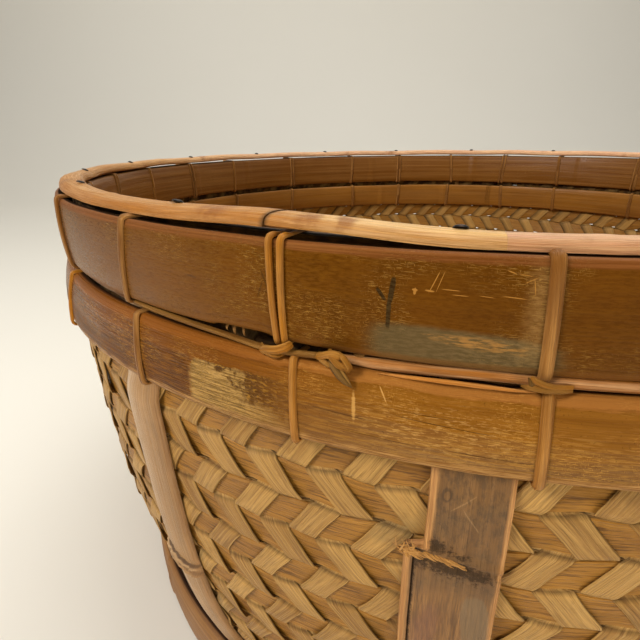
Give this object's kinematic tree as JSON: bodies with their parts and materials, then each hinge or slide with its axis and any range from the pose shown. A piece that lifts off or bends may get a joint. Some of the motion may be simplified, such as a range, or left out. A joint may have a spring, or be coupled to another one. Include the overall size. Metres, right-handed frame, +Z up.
{
  "type": "splint basket",
  "caption": "Round open basket of woven bamboo splint on crossed staves, with lashed split-bamboo hoops and a nailed cane at the mouth, standing on a foot hoop.",
  "frame": {"origin": "centre of the foot hoop's lower edge, on the surface that the basket stands on", "axes": "+Z up along the basket's axis, -Y towards the side where the joint of the rim cane shows"},
  "size_m": [0.4628, 0.4628, 0.2368],
  "materials": {
    "splint": "matte",
    "hoop_bamboo": "worn gloss",
    "inner_bamboo": "satin",
    "stave_bamboo": "matte",
    "rim_cane": "satin",
    "lashing_cane": "satin",
    "nail_iron": "dull"
  },
  "bodies": {
    "root": {"woven_body": "splint", "outer_upper_hoop": "hoop_bamboo", "outer_lower_hoop": "hoop_bamboo", "inner_upper_hoop": "inner_bamboo", "inner_lower_hoop": "inner_bamboo", "foot_hoop": "hoop_bamboo", "long_stave_1": "stave_bamboo", "long_stave_2": "stave_bamboo", "long_stave_3": "stave_bamboo", "long_stave_4": "stave_bamboo", "long_stave_5": "stave_bamboo", "long_stave_6": "stave_bamboo", "rim_cane": "rim_cane", "rim_splice": "rim_cane", "rim_nail_01": "nail_iron", "rim_nail_02": "nail_iron", "rim_nail_03": "nail_iron", "rim_nail_04": "nail_iron", "rim_nail_05": "nail_iron", "rim_nail_06": "nail_iron", "rim_nail_07": "nail_iron", "rim_nail_08": "nail_iron", "rim_nail_09": "nail_iron", "rim_nail_10": "nail_iron", "rim_nail_11": "nail_iron", "rim_nail_12": "nail_iron", "rim_nail_13": "nail_iron", "rim_nail_14": "nail_iron", "rim_nail_15": "nail_iron", "rim_nail_16": "nail_iron", "rim_nail_17": "nail_iron", "rim_nail_18": "nail_iron", "lashing_01": "lashing_cane", "lashing_02": "lashing_cane", "lashing_03": "lashing_cane", "lashing_04": "lashing_cane", "lashing_05": "lashing_cane", "lashing_06": "lashing_cane", "lashing_07": "lashing_cane", "lashing_08": "lashing_cane", "lashing_09": "lashing_cane", "lashing_10": "lashing_cane", "lashing_11": "lashing_cane", "lashing_12": "lashing_cane", "lashing_13": "lashing_cane", "lashing_14": "lashing_cane", "lashing_15": "lashing_cane", "lashing_16": "lashing_cane", "lashing_17": "lashing_cane", "lashing_18": "lashing_cane", "lashing_19": "lashing_cane", "lashing_20": "lashing_cane", "lashing_21": "lashing_cane", "lashing_22": "lashing_cane", "lashing_23": "lashing_cane", "lashing_24": "lashing_cane", "binder_cane_thin": "lashing_cane", "binder_cane_thick": "lashing_cane", "binder_knot": "lashing_cane"}
  },
  "joints": []
}
